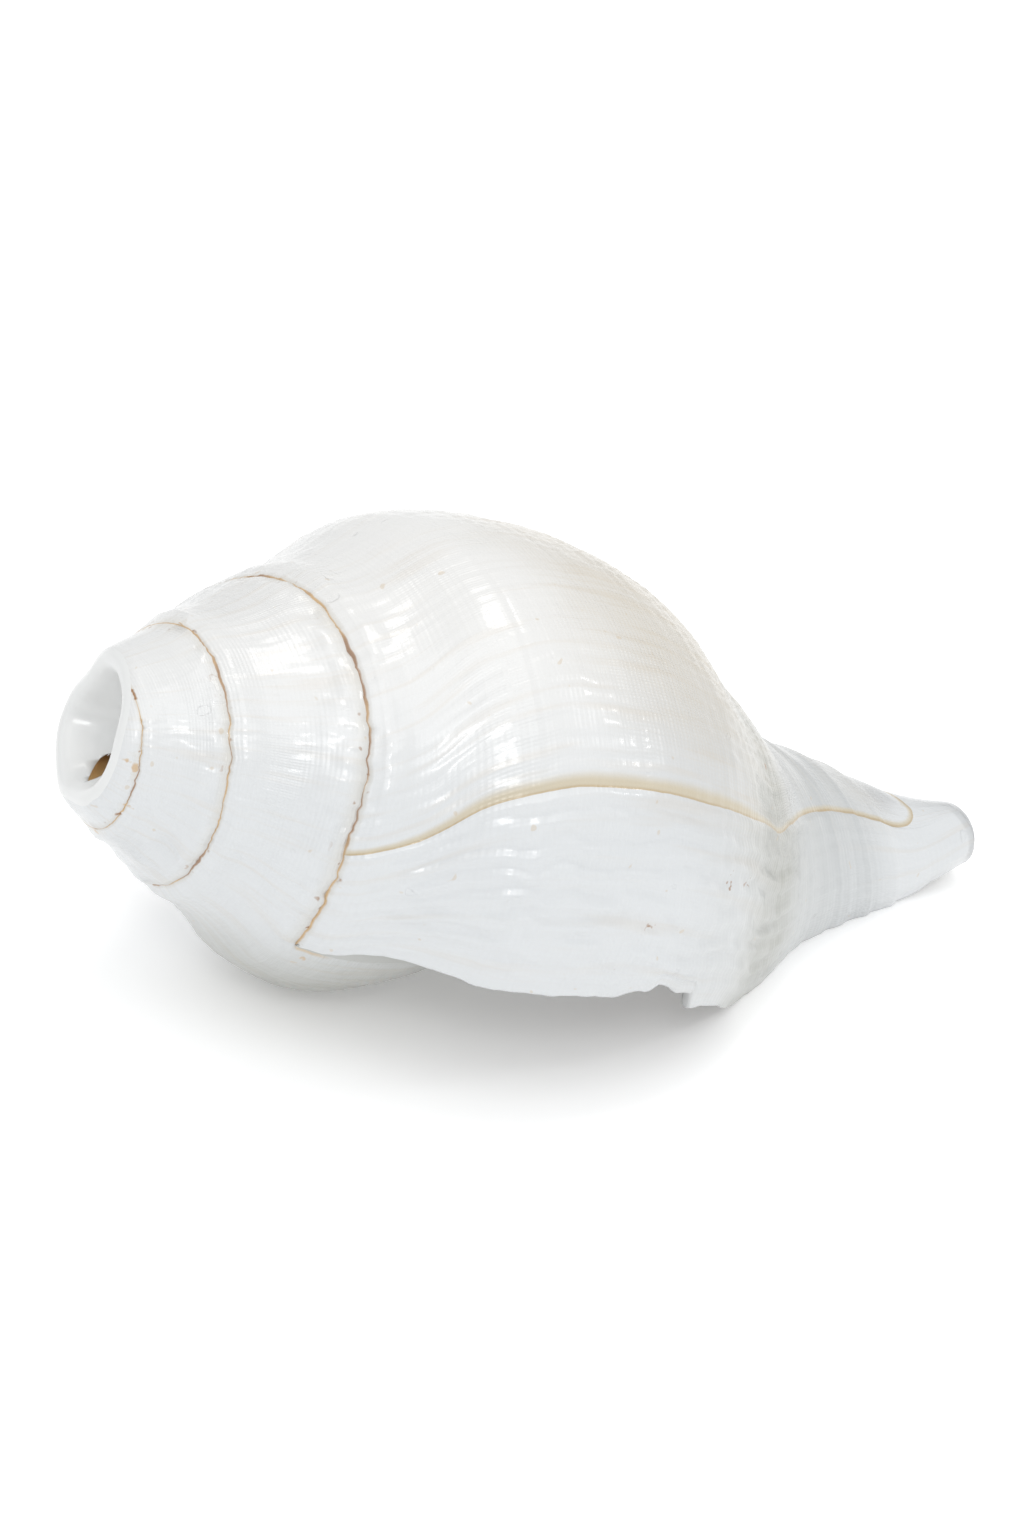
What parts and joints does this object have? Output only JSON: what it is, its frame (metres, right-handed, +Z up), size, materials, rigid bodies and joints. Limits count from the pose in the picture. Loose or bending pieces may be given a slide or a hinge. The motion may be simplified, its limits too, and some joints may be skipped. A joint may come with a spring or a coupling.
{
  "type": "conch shell",
  "caption": "Blowing conch: a right-hand coiled white sea shell, its tip cut open as a blow hole, lying on its wide mouth, with a long open canal.",
  "frame": {"origin": "middle of the shell's box, on the surface that the shell lies on", "axes": "+X from the blow hole towards the canal, +Z up as it lies on its mouth side, and the front, with the lip's edge, faces -Y"},
  "size_m": [0.1565, 0.0807, 0.0712],
  "materials": {
    "shell": "polished natural shell, porcelain white with tan growth lines"
  },
  "bodies": {
    "root": {"shell": "shell"}
  },
  "joints": []
}
